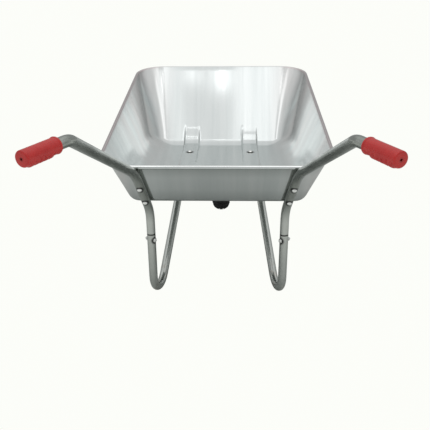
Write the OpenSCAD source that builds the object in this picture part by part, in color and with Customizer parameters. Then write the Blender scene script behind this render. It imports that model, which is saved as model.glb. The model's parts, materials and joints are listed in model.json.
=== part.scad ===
// Galvanised steel builder's wheelbarrow: pressed tray, two handle tubes, two leg and wheel tubes,
// and one pneumatic wheel.  Millimetres, +Z up, +Y forward, +X to the right of whoever pushes it.
// The origin is on the ground, under the middle of the whole barrow.
// Until it is placed there, y = 0 is the upright part of the rear legs.

/* [Tray] */
// Width between the tops of the side walls
tray_top_w = 626; // [540:2:760]
// Width at the foot of the side walls, before the fillet
tray_floor_w = 484; // [400:2:560]
// Length between the tops of the rear and front walls
tray_top_len = 869; // [720:1:1040]
// Length of the floor, before the fillets
tray_floor_len = 561; // [470:1:640]
// Horizontal run of the rear wall from its foot to its top
tray_rear_run = 82; // [60:1:100]
// Height of the floor's underside above the ground
tray_floor_z = 315; // [290:1:380]
// Depth of the tray at its rear wall
tray_rear_depth = 134; // [110:1:165]
// Depth of the tray at its front wall
tray_front_depth = 247; // [200:1:300]
// How far the floor's rear edge lies behind the upright legs
tray_setback = 2; // [0:1:20]
// Thickness of the tray sheet
sheet_t = 1; // [0.8:0.1:2]
// Plan radius of the corners where the floor begins
floor_corner_r = 16; // [12:1:40]
// Plan radius of the rear corners at the rim
rear_corner_r = 100; // [60:1:120]
// Plan radius of the front corners at the rim
front_corner_r = 82; // [60:1:120]
// Radius between the floor and the side walls
side_fillet_r = 90; // [60:1:95]
// Radius between the floor and the rear wall
rear_fillet_r = 18; // [10:1:22]
// Radius between the floor and the front wall
front_fillet_r = 60; // [30:1:80]
// Inside radius of the rolled rim
bead_r = 4.5; // [4:0.5:6]
// How far round the rim is rolled, in degrees
bead_turn = 285; // [200:5:300]

/* [Tray ribs] */
// Width of a pressed rib over its edges
rib_w = 60; // [50:1:70]
// Height of a rib above the floor
rib_h = 8; // [5:0.5:10]
// Width of a rib's sloping edge
rib_edge = 10; // [6:1:12]
// Where the ribs begin, from the floor's rear edge
rib_start = 150; // [100:1:200]
// How far the ribs climb the front wall
rib_climb = 48; // [20:1:80]

/* [Tubes] */
// Outside diameter of the frame and handle tubes
tube_d = 25; // [22:0.5:28]
// Wall of the tubes
tube_wall = 1.2; // [1:0.1:2]
// Distance between the two upright legs
leg_gauge = 387; // [330:1:450]
// Distance from the upright legs to the axle
leg_to_axle = 722; // [660:1:780]
// Bend radius at the foot, to the middle of the tube
foot_bend_r = 60; // [50:1:80]
// Rise of the front legs, in degrees
front_leg_rise = 44.8; // [42:0.2:50]
// Bend radius under the tray
frame_bend_r = 70; // [60:1:90]
// Length of the level run between its bend points
level_run = 136; // [130:1:160]
// Height of the joint between leg and handle
joint_z = 214; // [190:1:240]
// Visible gap between the ends of the two tubes there
joint_gap = 2.5; // [1:0.5:4]
// Length of the handle's reduced end inside the leg
spigot_len = 45; // [30:1:60]

/* [Handles] */
// Distance between the two grips' outer ends
grip_gauge = 675; // [600:1:760]
// Height of the grips' outer ends
grip_z = 620; // [560:1:680]
// How far the grips' outer ends lie behind the upright legs
grip_reach = 554; // [480:1:620]
// Distance between the bends behind the grips
elbow_gauge = 561; // [500:1:640]
// Height of the bends behind the grips
elbow_z = 623; // [560:1:680]
// How far those bends lie behind the upright legs
elbow_reach = 439; // [380:1:500]
// Distance between the handle bends at the tray's rear corners
shoulder_gauge = 433; // [400:1:450]
// Height of those bends
shoulder_z = 429; // [410:1:440]
// Bend radius behind the grip
elbow_r = 45; // [40:1:50]
// Bend radius at the tray's rear corner
shoulder_r = 150; // [90:1:160]
// Bend radius above the upright leg
knee_r = 110; // [80:1:120]

/* [Grips] */
// Length of a grip
grip_len = 101; // [85:1:110]
// Outside diameter of a grip
grip_d = 31; // [30:0.5:36]
// Diameter of the hole in the grip's end
grip_hole_d = 5; // [3:0.5:8]

/* [Wheel] */
// Overall diameter of the tyre
wheel_d = 330; // [300:1:340]
// Overall width of the tyre
tyre_w = 70; // [64:1:76]
// Diameter of the axle
axle_d = 12; // [10:0.5:16]
// Length of the hub tube
hub_len = 80; // [78:1:96]
// Outside diameter of the bearings
bearing_d = 32; // [28:1:36]
// Wall of the hub tube
hub_wall = 2.5; // [2:0.5:4]
// Thickness of the pressed rim halves
rim_t = 1.5; // [1.2:0.1:2.5]
// Diameter over the rim's flanges
rim_flange_d = 218; // [205:1:225]
// Width over the rim's flanges
rim_w = 56; // [48:1:60]

/* [Fasteners] */
// Diameter of the bolts through the tubes
bolt_d = 6; // [5:0.5:8]
// Diameter of their domed heads
head_d = 14; // [12:0.5:16]
// Height of the domed heads
head_h = 4.2; // [3:0.1:6]
// Height of the upper tray bolts on the handle tubes
upper_bolt_z = 381; // [365:1:386]
// Height of the lower tray bolts on the handle tubes
lower_bolt_z = 331; // [330:1:340]
// How far the floor bolts lie ahead of the upright legs
floor_bolt_y = 441; // [430:1:455]
// How far the leg bolts lie under the joint
leg_bolt_drop = 19; // [14:1:30]
// Diameter of the bolts that join the rim halves
rim_bolt_d = 6; // [5:0.5:8]

/* [Clearances] */
// Gap between a tube and the sheet it lies against
seat_gap = 0.3; // [0.2:0.05:0.5]
// Gap round a bolt in its hole
hole_gap = 0.3; // [0.2:0.05:0.6]
// Gap between a head, washer or nut and its seat
face_gap = 0.05; // [0.02:0.01:0.1]
// Radial running gap between the bearings and the axle
running_gap = 0.05; // [0.02:0.01:0.1]
// Gap between the turning wheel and the still spacers
end_gap = 0.3; // [0.2:0.1:0.6]
// Gap between the grip and its tube
grip_gap = 0.05; // [0.02:0.01:0.2]

/* [Hidden] */

galvanised = [0.66, 0.68, 0.66];
bright_steel = [0.8, 0.81, 0.81];
grip_red = [0.78, 0.16, 0.16];
tyre_black = [0.09, 0.09, 0.09];

$fn = 64;

// ---------- small helpers ----------

function mix(a, b, t) = a + (b - a) * t;
function unit(v) = v / norm(v);
function clamp(v, low, high) = max(low, min(high, v));
function smooth(t) = t * t * (3 - 2 * t);
function side_of(v) = cross(abs(v.z) < 0.9 ? [0, 0, 1] : [1, 0, 0], v);
function bend_angle(a, b, c) = acos(unit(b - a) * unit(c - b));
function bend_setback(a, b, c, r) = r * tan(bend_angle(a, b, c) / 2);

// Puts children in the frame with these axes
module in_frame(p, x, y, z) {
  multmatrix([
    [x.x, y.x, z.x, p.x],
    [x.y, y.y, z.y, p.y],
    [x.z, y.z, z.z, p.z],
    [0, 0, 0, 1]
  ]) children();
}

// Puts children at p with their +Z along v
module aimed(p, v) {
  z = unit(v);
  x = unit(side_of(z));
  in_frame(p, x, cross(z, x), z) children();
}

module rod(a, b, d) {
  aimed(a, b - a) cylinder(d = d, h = norm(b - a));
}

module pipe(a, b, outer, bore) {
  difference() {
    rod(a, b, outer);
    rod(a - unit(b - a), b + unit(b - a), bore);
  }
}

// The bend of a tube that turns from the line a-b to the line b-c
module pipe_bend(a, b, c, r, outer, bore) {
  travel = unit(b - a);
  axis = unit(cross(travel, unit(c - b)));
  inward = cross(axis, travel);
  in_frame(b - travel * bend_setback(a, b, c, r) + inward * r, -inward, travel, axis)
    rotate_extrude(angle = bend_angle(a, b, c)) translate([r, 0]) difference() {
      circle(d = outer, $fn = 32);
      circle(d = bore, $fn = 32);
    }
}

// A tube that follows points, with a bend of radii[i] at each inner point
module bent_tube(points, radii) {
  last = len(points) - 1;
  function cut(i) = i == 0 || i == last ? 0
    : bend_setback(points[i - 1], points[i], points[i + 1], radii[i - 1]);
  for (i = [0:last - 1]) {
    way = unit(points[i + 1] - points[i]);
    pipe(points[i] + way * cut(i), points[i + 1] - way * cut(i + 1), tube_d, tube_bore);
  }
  for (i = [1:last - 1]) {
    in_way = unit(points[i] - points[i - 1]);
    out_way = unit(points[i + 1] - points[i]);
    pipe_bend(points[i - 1], points[i], points[i + 1], radii[i - 1], tube_d, tube_bore);
    seam(points[i] - in_way * cut(i), in_way);
    seam(points[i] + out_way * cut(i), out_way);
  }
}

// A hairline band that makes a straight run and a bend one solid
module seam(p, way) {
  pipe(p - way * seam_len / 2, p + way * seam_len / 2, tube_d + seam_skin, tube_bore - seam_skin);
}

// ---------- places ----------

tube_r = tube_d / 2;
tube_bore = tube_d - 2 * tube_wall;
seam_len = 1;
seam_skin = 0.02;
leg_x = leg_gauge / 2;
wheel_r = wheel_d / 2;
axle_z = wheel_r;

// Wheel stack along the axle, from the middle outwards
bearing_flange_t = 3;
spacer_t = 6;
tab_t = 2 * tube_wall + 1.6;
wheel_half_w = hub_len / 2 + bearing_flange_t;
tab_inner_x = wheel_half_w + end_gap + spacer_t + face_gap;
tab_x = tab_inner_x + tab_t / 2;
tab_len = 46;
tab_h = 36;
flatten_len = 55;
washer_t = 1.6;

// The leg and wheel tubes lie in upright planes that close in towards the wheel
toe_in = atan2(leg_x - tab_x, leg_to_axle);
plane_dir = [-sin(toe_in), cos(toe_in), 0];
axle_s = leg_to_axle / cos(toe_in);
level_z = tray_floor_z + rib_h - seat_gap - tube_r;
foot_z = foot_bend_r + tube_r - foot_bend_r * tan((90 + front_leg_rise) / 2);
level_start_s = (level_z - foot_z) / tan(front_leg_rise);
level_end_s = level_start_s + level_run;
function frame_point(s, z) = [leg_x, 0, z] + plane_dir * s;

// Plan place of the tube under the ribs, and so of the ribs and the floor bolts
rib_x = leg_x - floor_bolt_y * tan(toe_in);

// Tray outline
floor_rear = -tray_setback;
floor_front = floor_rear + tray_floor_len;
top_rear = floor_rear - tray_rear_run;
top_front = top_rear + tray_top_len;
front_run = top_front - floor_front;
side_run = (tray_top_w - tray_floor_w) / 2;
rear_lean = atan2(tray_rear_run, tray_rear_depth);

// The rear wall's outward normal, and the middle of a tube that lies against that wall
rear_normal = [0, -cos(rear_lean), -sin(rear_lean)];
function rear_wall_y(z) = floor_rear - (z - tray_floor_z) * tan(rear_lean);
function against_rear_wall(x, z) = [x, rear_wall_y(z) - (tube_r + seat_gap) / cos(rear_lean), z];
knee_z = tray_floor_z + (floor_rear - (tube_r + seat_gap) / cos(rear_lean)) / tan(rear_lean);

grip_end = [grip_gauge / 2, -grip_reach, grip_z];
elbow = [elbow_gauge / 2, -elbow_reach, elbow_z];
shoulder = against_rear_wall(shoulder_gauge / 2, shoulder_z);
knee = [leg_x, 0, knee_z];
joint = [leg_x, 0, joint_z];
grip_way = unit(elbow - grip_end);
grip_wall = 3;

// A point on the stretch of handle tube that lies against the rear wall
function on_handle(z) = mix(shoulder, knee, (shoulder_z - z) / (shoulder_z - knee_z));

// Moves the barrow so that its box is centred over the origin
grip_rear_y = -grip_reach - grip_d / 2 * norm([grip_way.x, grip_way.z]);
barrow_shift = -(leg_to_axle + wheel_r + grip_rear_y) / 2;

module placed() {
  translate([0, barrow_shift, 0]) children();
}

module both_sides() {
  children();
  mirror([1, 0, 0]) children();
}

// ---------- tray ----------

// The rear corners stay tight low down, where the handle tubes are bolted to a flat wall
rear_corner_ease = 3;
corner_steps = 6;
fillet_steps = 5;
wall_steps = [0.1, 0.2, 0.5, 1];
bead_steps = 9;
edge_steps = 4;

// The floor's flat part, inside the fillets, for the lowest fillet angle of each wall
function fillet_back(angle, r) = r * tan(angle / 2);
top_corner_half_w = tray_top_w / 2;
rib_edges = [for (side = [-1, 1]) for (edge = [-1, 1]) side * rib_x + edge * (rib_w - rib_edge) / 2];
rib_columns = [for (e = rib_edges) for (i = [0:edge_steps]) e + rib_edge * (i / edge_steps - 0.5)];
columns = concat(
  [for (i = [0:4 * (edge_steps + 1) - 1]) if (i < 2 * (edge_steps + 1)) rib_columns[i]],
  [0],
  [for (i = [0:4 * (edge_steps + 1) - 1]) if (i >= 2 * (edge_steps + 1)) rib_columns[i]]
);
function rib_profile(x) = let (d = abs(abs(x) - rib_x))
  rib_h * smooth(clamp((rib_w / 2 - d) / rib_edge, 0, 1));

rows = let (a = clamp(rib_start / tray_floor_len, 0.05, 0.5), b = a + 20 / tray_floor_len)
  [a, b, mix(b, 1, 0.33), mix(b, 1, 0.67)];

// A station is [fixed x or undef, side sign, how far forward from 0 to 1, outward angle]
function corner_stations(sign, q, from) =
  [for (i = [0:corner_steps]) [undef, sign, q, from + 90 * i / corner_steps]];
last_column = len(columns) - 1;
last_row = len(rows) - 1;
stations = concat(
  [for (x = columns) [x, 0, 0, -90]],
  corner_stations(1, 0, -90),
  [for (q = rows) [undef, 1, q, 0]],
  corner_stations(1, 1, 0),
  [for (i = [last_column:-1:0]) [columns[i], 0, 1, 90]],
  corner_stations(-1, 1, 90),
  [for (i = [last_row:-1:0]) [undef, -1, rows[i], 180]],
  corner_stations(-1, 0, 180)
);
ring = len(stations);

// A level is [how far round the fillet, how far up the wall, how far round the bead]
levels = concat(
  [for (i = [0:fillet_steps]) [i / fillet_steps, 0, 0]],
  [for (t = wall_steps) [1, t, 0]],
  [for (i = [1:bead_steps]) [1, 1, i / bead_steps]]
);

// Wall section: [distance outward from the foot, height, heading]
function section(run, rise, r, level) = let (
    angle = atan2(rise, run),
    turned = angle * level[0],
    start = -fillet_back(angle, r),
    d = start + r * sin(turned),
    z = r * (1 - cos(turned))
  ) [mix(d, run, level[1]), mix(z, rise, level[1]), turned];

function rim_rise(y) = tray_rear_depth
  + (tray_front_depth - tray_rear_depth) * (y - top_rear) / tray_top_len;

flat_half_w = tray_floor_w / 2 - fillet_back(atan2(tray_front_depth, side_run), side_fillet_r);
start_corner_r = min(floor_corner_r, flat_half_w - rib_x - rib_w / 2 - 4);

// Point on the outer skin with its heading: [x, y, z, heading, outward angle]
function tray_station(s, level) = let (
    q = s[2],
    out = s[3],
    sideways = pow(cos(out), 2),
    top_r = mix(rear_corner_r, front_corner_r, q),
    rim_y = mix(top_rear + rear_corner_r, top_front - front_corner_r, q) + top_r * sin(out),
    rise = rim_rise(rim_y),
    side = section(side_run, rise, side_fillet_r, level),
    rear = section(tray_rear_run, rise, rear_fillet_r, level),
    front = section(front_run, rise, front_fillet_r, level),
    end = sin(out) < 0 ? rear : front,
    side_start = section(side_run, rise, side_fillet_r, [0, 0, 0])[0],
    grown = (side[0] - side_start) / (side_run - side_start),
    rear_r = mix(start_corner_r, rear_corner_r, pow(grown, rear_corner_ease)),
    front_r = mix(start_corner_r, front_corner_r, grown),
    r = mix(rear_r, front_r, q),
    half_w = tray_floor_w / 2 + side[0],
    x = is_undef(s[0]) ? s[1] * (half_w - r) + r * cos(out) : s[0],
    y = mix(floor_rear - rear[0] + rear_r, floor_front + front[0] - front_r, q) + r * sin(out),
    z = tray_floor_z + mix(end[1], side[1], sideways),
    heading = mix(end[2], side[2], sideways),
    rolled = bead_turn * level[2],
    reach = bead_r * (sin(heading) - sin(heading - rolled)),
    lift = bead_r * (cos(heading - rolled) - cos(heading)),
    climbed = clamp((rib_climb - end[1]) / (rib_climb * 0.5), 0, 1),
    raised = s[1] == 0 && q == 1 ? rib_profile(s[0]) * smooth(climbed) : 0
  ) skin([x + reach * cos(out), y + reach * sin(out), z + lift], heading - rolled, out, raised);

// Both skins at a place: the outer point and the inner one, a sheet's thickness apart
function skin(p, heading, out, raised) = let (
    n = [-sin(heading) * cos(out), -sin(heading) * sin(out), cos(heading)]
  ) [p + n * raised, p + n * (raised + sheet_t)];

// Floor grid between the corner centres
grid_x = let (c = flat_half_w - start_corner_r) concat([-c], columns, [c]);
function flat_y(q) = let (
    rear = section(tray_rear_run, tray_rear_depth, rear_fillet_r, [0, 0, 0])[0],
    front = section(front_run, tray_front_depth, front_fillet_r, [0, 0, 0])[0]
  ) mix(floor_rear - rear + start_corner_r, floor_front + front - start_corner_r, q);
grid_q = concat([0], rows, [1]);
grid_points = [for (j = [0:len(grid_q) - 1]) for (x = grid_x)
  skin([x, flat_y(grid_q[j]), tray_floor_z], 0, 0, j < 2 ? 0 : rib_profile(x))];
wide = len(grid_x);
deep = len(grid_q);

ring_points = [for (level = levels) for (s = stations) tray_station(s, level)];
skin_points = concat(ring_points, grid_points);
skin_size = len(skin_points);
tray_points = concat([for (p = skin_points) p[1]], [for (p = skin_points) p[0]]);

function grid_at(i, j) = len(ring_points) + j * wide + i;
function two_triangles(a, b, c, d) = [[a, b, c], [a, c, d]];
rear_side = concat([ring - 1], [for (i = [0:last_column]) i], [last_column + 1]);
right_from = last_column + 1 + corner_steps;
right_side = [for (i = [0:last_row + 2]) right_from + i];
front_from = right_from + last_row + 2 + corner_steps;
front_side = [for (i = [0:last_column + 2]) front_from + last_column + 2 - i];
left_from = front_from + last_column + 2 + corner_steps;
left_side = [for (i = [0:last_row + 2]) left_from + last_row + 2 - i];

function corner_fan(centre, from) =
  [for (i = [0:corner_steps - 1]) [centre, (from + i + 1) % ring, (from + i) % ring]];

// Triangles of the inner skin, clockwise from inside the tray
inner_faces = concat(
  [for (k = [0:len(levels) - 2]) for (i = [0:ring - 1])
    each two_triangles(k * ring + i, k * ring + (i + 1) % ring,
      (k + 1) * ring + (i + 1) % ring, (k + 1) * ring + i)],
  [for (j = [0:deep - 2]) for (i = [0:wide - 2])
    each two_triangles(grid_at(i, j), grid_at(i, j + 1), grid_at(i + 1, j + 1), grid_at(i + 1, j))],
  [for (i = [0:wide - 2])
    each two_triangles(rear_side[i], grid_at(i, 0), grid_at(i + 1, 0), rear_side[i + 1])],
  [for (i = [0:wide - 2])
    each two_triangles(grid_at(i, deep - 1), front_side[i], front_side[i + 1], grid_at(i + 1, deep - 1))],
  [for (j = [0:deep - 2])
    each two_triangles(grid_at(wide - 1, j), grid_at(wide - 1, j + 1), right_side[j + 1], right_side[j])],
  [for (j = [0:deep - 2])
    each two_triangles(left_side[j], left_side[j + 1], grid_at(0, j + 1), grid_at(0, j))],
  corner_fan(grid_at(wide - 1, 0), last_column + 1),
  corner_fan(grid_at(wide - 1, deep - 1), right_from + last_row + 2),
  corner_fan(grid_at(0, deep - 1), front_from + last_column + 2),
  corner_fan(grid_at(0, 0), left_from + last_row + 2)
);
outer_faces = [for (f = inner_faces) [f[2] + skin_size, f[1] + skin_size, f[0] + skin_size]];
edge_faces = let (from = (len(levels) - 1) * ring) [for (i = [0:ring - 1])
  each two_triangles(from + i, from + (i + 1) % ring,
    from + (i + 1) % ring + skin_size, from + i + skin_size)];

module tray() {
  color(bright_steel) placed() difference() {
    polyhedron(tray_points, concat(inner_faces, outer_faces, edge_faces), convexity = 12);
    both_sides() {
      tray_bolt_holes();
      floor_bolt_hole(20);
    }
  }
}

module tray_bolt_holes() {
  for (z = [upper_bolt_z, lower_bolt_z])
    aimed(on_handle(z), -rear_normal) cylinder(d = bolt_d + 2 * hole_gap, h = 60);
}

module floor_bolt_hole(above) {
  translate([rib_x, floor_bolt_y, level_z - 2 * tube_r])
    cylinder(d = bolt_d + 2 * hole_gap, h = 3 * tube_r + above);
}

// ---------- handles ----------

spigot_play = 0.2;
spigot_d = tube_bore - 2 * spigot_play;
swage_len = 3;
handle_points = [
  grip_end + grip_way * grip_wall, elbow, shoulder, knee, joint + [0, 0, swage_len]
];
handle_radii = [elbow_r, shoulder_r, knee_r];

module leg_bolt_frame(from) {
  way = unit([-0.85, -0.53, 0]);
  aimed([leg_x, 0, joint_z - leg_bolt_drop] + way * from, way) children();
}

module handle() {
  color(galvanised) difference() {
    union() {
      bent_tube(handle_points, handle_radii);
      difference() {
        union() {
          translate(joint) cylinder(d = tube_d, h = swage_len);
          translate(joint + [0, 0, 1]) cylinder(d = tube_bore + tube_wall, h = swage_len);
          translate(joint - [0, 0, spigot_len]) cylinder(d = spigot_d, h = spigot_len + 1);
        }
        translate(joint - [0, 0, spigot_len + 1])
          cylinder(d = spigot_d - 2 * tube_wall, h = 2 * spigot_len);
      }
    }
    for (z = [upper_bolt_z, lower_bolt_z])
      aimed(on_handle(z) + rear_normal * tube_d, -rear_normal)
        cylinder(d = bolt_d + 2 * hole_gap, h = 2 * tube_d);
    leg_bolt_frame(-tube_d) cylinder(d = bolt_d + 2 * hole_gap, h = 2 * tube_d);
  }
}

module right_handle() {
  placed() handle();
}

module left_handle() {
  placed() mirror([1, 0, 0]) handle();
}

module grip() {
  ridges = 5;
  ridge_pitch = 16;
  ridge_d = 26;
  down = unit(cross(cross(grip_way, [0, 0, 1]), grip_way)) * -1;
  color(grip_red) difference() {
    union() {
      rod(grip_end, grip_end + grip_way * grip_len, grip_d);
      for (i = [0:ridges - 1]) {
        from = grip_end + grip_way * (12 + i * ridge_pitch) + down * (grip_d - ridge_d) / 2;
        rod(from + down * 3, from + down * 3 + grip_way * 9, ridge_d);
      }
    }
    rod(grip_end + grip_way * (grip_wall - face_gap), grip_end + grip_way * (grip_len + 1),
      tube_d + 2 * grip_gap);
    rod(grip_end - grip_way, grip_end + grip_way * (grip_wall + 1), grip_hole_d);
  }
}

module right_grip() {
  placed() grip();
}

module left_grip() {
  placed() mirror([1, 0, 0]) grip();
}

// ---------- leg and wheel tubes ----------

tab_centre = [tab_x, leg_to_axle, axle_z];
level_end = frame_point(level_end_s, level_z);
descent = unit(tab_centre - level_end);
tab_angle = atan2(descent.z, descent.y);
flatten_end = tab_centre - descent * (tab_len / 2);
flatten_start = flatten_end - descent * flatten_len;
frame_points = [
  [leg_x, 0, joint_z - joint_gap],
  [leg_x, 0, foot_z],
  frame_point(level_start_s, level_z),
  level_end,
  flatten_start
];
frame_radii = [foot_bend_r, frame_bend_r, frame_bend_r];

// The tube's end, pressed flat and drilled for the axle
module tab() {
  translate(tab_centre) rotate([tab_angle, 0, 0]) difference() {
    union() {
      translate([-tab_t / 2, -tab_len / 2, -tab_h / 2]) cube([tab_t, tab_len / 2, tab_h]);
      rotate([0, 90, 0]) translate([0, 0, -tab_t / 2]) cylinder(d = tab_h, h = tab_t);
    }
    rotate([0, 90, 0]) translate([0, 0, -tab_t]) cylinder(d = axle_d + 2 * hole_gap, h = 2 * tab_t);
  }
}

// The stretch between the round tube and the flat; it starts inside the tube's wall
module flattening() {
  inset_x = 0.3;
  inset_z = 0.7;
  hull() {
    aimed(flatten_start - descent, descent)
      cylinder(d = tube_d - 0.75 * tube_wall, h = 0.5, $fn = 32);
    translate(tab_centre) rotate([tab_angle, 0, 0])
      translate([-tab_t / 2 + inset_x, -tab_len / 2 + 2, -tab_h / 2 + inset_z])
        cube([tab_t - 2 * inset_x, 0.5, tab_h - 2 * inset_z]);
  }
}

module frame_tube() {
  color(galvanised) union() {
    difference() {
      bent_tube(frame_points, frame_radii);
      leg_bolt_frame(-tube_d) cylinder(d = bolt_d + 2 * hole_gap, h = 2 * tube_d);
      floor_bolt_hole(0);
    }
    flattening();
    tab();
  }
}

module right_frame_tube() {
  placed() frame_tube();
}

module left_frame_tube() {
  placed() mirror([1, 0, 0]) frame_tube();
}

// ---------- fasteners ----------

nut_w = 10;
nut_h = 5;
small_washer_d = 14;
small_washer_t = 1.2;

// A domed head under the origin's plane pointing +Z, its shank along -Z
module domed_bolt(length, d = bolt_d, over = head_d, high = head_h) {
  dome_r = (pow(over / 2, 2) + pow(high, 2)) / (2 * high);
  translate([0, 0, -length]) cylinder(d = d, h = length + 0.5);
  intersection() {
    translate([0, 0, high - dome_r]) sphere(r = dome_r);
    cylinder(d = over, h = high + 1);
  }
}

module hex_nut(d = bolt_d, across = nut_w, high = nut_h) {
  difference() {
    cylinder(d = across / cos(30), h = high, $fn = 6);
    translate([0, 0, -1]) cylinder(d = d + 0.1, h = high + 2);
  }
}

module ring_washer(inner, outer, t) {
  difference() {
    cylinder(d = outer, h = t);
    translate([0, 0, -1]) cylinder(d = inner, h = t + 2);
  }
}

// Distance from a handle bolt's seat on the tube to the tray's inner face, along the bolt
tray_grip_len = tube_d + seat_gap + sheet_t;
handle_bolt_len = tray_grip_len + small_washer_t + nut_h + 4;

module at_handle_bolts(from) {
  both_sides() for (z = [upper_bolt_z, lower_bolt_z])
    aimed(on_handle(z) + rear_normal * from, rear_normal) children();
}

module handle_bolts() {
  color(bright_steel) placed() at_handle_bolts(tube_r + face_gap) domed_bolt(handle_bolt_len);
}

module handle_bolt_washers() {
  color(bright_steel) placed()
    at_handle_bolts(tube_r - tray_grip_len - face_gap - small_washer_t)
      ring_washer(bolt_d + 2 * hole_gap, small_washer_d, small_washer_t);
}

module handle_bolt_nuts() {
  color(bright_steel) placed()
    at_handle_bolts(tube_r - tray_grip_len - 2 * face_gap - small_washer_t - nut_h) hex_nut();
}

rib_top_z = tray_floor_z + rib_h + sheet_t;
floor_bolt_len = rib_top_z - level_z + tube_r + nut_h + 4;

module at_floor_bolts(z) {
  both_sides() translate([rib_x, floor_bolt_y, z]) children();
}

module floor_bolts() {
  color(bright_steel) placed()
    at_floor_bolts(rib_top_z + 2 * face_gap + small_washer_t) domed_bolt(floor_bolt_len + small_washer_t);
}

module floor_bolt_washers() {
  color(bright_steel) placed() at_floor_bolts(rib_top_z + face_gap)
    ring_washer(bolt_d + 2 * hole_gap, small_washer_d + 4, small_washer_t);
}

module floor_bolt_nuts() {
  color(bright_steel) placed() at_floor_bolts(level_z - tube_r - face_gap - nut_h) hex_nut();
}

module leg_bolts() {
  color(bright_steel) placed() both_sides()
    leg_bolt_frame(tube_r + face_gap) domed_bolt(tube_d + nut_h + 4);
}

module leg_nuts() {
  color(bright_steel) placed() both_sides() leg_bolt_frame(-tube_r - face_gap - nut_h) hex_nut();
}

// ---------- axle ----------

axle_nut_w = 19;
axle_nut_h = 8;
axle_washer_d = 24;
axle_washer_t = 2;
tab_outer_x = tab_x + tab_t / 2;
axle_half = tab_outer_x + axle_washer_t + axle_nut_h + 4;

module at_axle() {
  translate([0, leg_to_axle, axle_z]) rotate([0, 90, 0]) children();
}

module axle() {
  chamfer = 1;
  color(bright_steel) placed() at_axle() {
    translate([0, 0, -axle_half + chamfer]) cylinder(d = axle_d, h = 2 * (axle_half - chamfer));
    for (turn = [0, 180]) rotate([turn, 0, 0])
      translate([0, 0, axle_half - chamfer]) cylinder(d1 = axle_d, d2 = axle_d - 2 * chamfer, h = chamfer);
  }
}

module axle_nuts() {
  color(bright_steel) placed() at_axle() for (turn = [0, 180]) rotate([turn, 0, 0])
    translate([0, 0, tab_outer_x + axle_washer_t + 2 * face_gap])
      hex_nut(axle_d, axle_nut_w, axle_nut_h);
}

module axle_washers() {
  color(bright_steel) placed() at_axle() for (turn = [0, 180]) rotate([turn, 0, 0])
    translate([0, 0, tab_outer_x + face_gap]) ring_washer(axle_d + 0.4, axle_washer_d, axle_washer_t);
}

module axle_spacers() {
  color(bright_steel) placed() at_axle() for (turn = [0, 180]) rotate([turn, 0, 0])
    translate([0, 0, wheel_half_w + end_gap]) ring_washer(axle_d + 0.4, axle_d + 8, spacer_t);
}

// ---------- wheel ----------

rim_r = rim_flange_d / 2;
rim_well_r = rim_r - 16;
hub_r = bearing_d / 2 + hub_wall;
rim_bolt_circle_r = 56;
valve_x = 11;
valve_d = 8;
rim_bolts_n = 4;
tyre_wall = 5;
bead_gap = 0.4;
flange_x = rim_w / 2;

// One rim half's section, tyre side, as [distance from the axle, distance from the middle]
rim_line = [
  [hub_r + face_gap, 14],
  [hub_r + 8, 14],
  [hub_r + 20, 0],
  [rim_well_r - 12, 0],
  [rim_well_r, 8],
  [rim_well_r, flange_x - 3],
  [rim_well_r + 2, flange_x - 1],
  [rim_r - 5, flange_x - 1],
  [rim_r, flange_x + 2]
];
rim_last = len(rim_line) - 1;

// The same point on the sheet's other side
function rim_back(i) = let (
    before = i == 0 ? rim_line[1] - rim_line[0] : rim_line[i] - rim_line[i - 1],
    after = i == rim_last ? before : rim_line[i + 1] - rim_line[i],
    n = unit(unit([-before.y, before.x]) + unit([-after.y, after.x])),
    lean = n * unit([-after.y, after.x])
  ) rim_line[i] + n * rim_t / lean;

module rim_half() {
  color(galvanised) difference() {
    rotate_extrude($fn = 128) translate([0, face_gap])
      polygon(concat(rim_line, [for (i = [rim_last:-1:0]) rim_back(i)]));
    for (i = [0:rim_bolts_n - 1]) rotate([0, 0, (i + 0.5) * 360 / rim_bolts_n])
      translate([rim_bolt_circle_r, 0, -10]) cylinder(d = rim_bolt_d + 2 * hole_gap, h = 40);
  }
}

module right_rim() {
  color(galvanised) placed() at_axle() difference() {
    rim_half();
    translate([0, 0, valve_x]) rotate([0, -90, 0])
      translate([0, 0, rim_well_r - 10]) cylinder(d = valve_d + 1, h = 20);
  }
}

module left_rim() {
  placed() at_axle() mirror([0, 0, 1]) rim_half();
}

// Tyre section: a rounded outside and a hollow inside, open between the beads
tyre_mid_r = (wheel_r + rim_r) / 2 - 2;
tyre_rise = wheel_r - tyre_mid_r;
hollow_rise = tyre_rise - tyre_wall - 2;
hollow_half_w = tyre_w / 2 - tyre_wall;
tube_skin = 1.5;
function arc(rise, half_w, reach, n) = [for (i = [0:n]) let (a = mix(-reach, reach, i / n))
  [tyre_mid_r + rise * cos(a), half_w * sin(a)]];
function turned_over(points) = [for (i = [len(points) - 1:-1:0]) [points[i].x, -points[i].y]];

module tyre() {
  foot_r = rim_well_r + bead_gap;
  foot_x = flange_x - 1 - bead_gap;
  right_foot = [
    [foot_r + 12, foot_x], [foot_r + 2.2, foot_x], [foot_r, foot_x - 2.2],
    [foot_r, foot_x - 10], [foot_r + 14, foot_x - 7]
  ];
  hollow = arc(hollow_rise, hollow_half_w, 112, 22);
  color(tyre_black) placed() at_axle() rotate_extrude($fn = 128) polygon(concat(
    turned_over(right_foot),
    arc(tyre_rise, tyre_w / 2, 110, 22),
    right_foot,
    [for (i = [22:-1:0]) hollow[i]]
  ));
}

module inner_tube() {
  color(tyre_black) placed() at_axle() rotate_extrude($fn = 128) difference() {
    polygon(arc(hollow_rise - 0.6, hollow_half_w - 0.6, 105, 20));
    polygon(arc(hollow_rise - 0.6 - tube_skin, hollow_half_w - 0.6 - tube_skin, 103, 20));
  }
}

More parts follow.
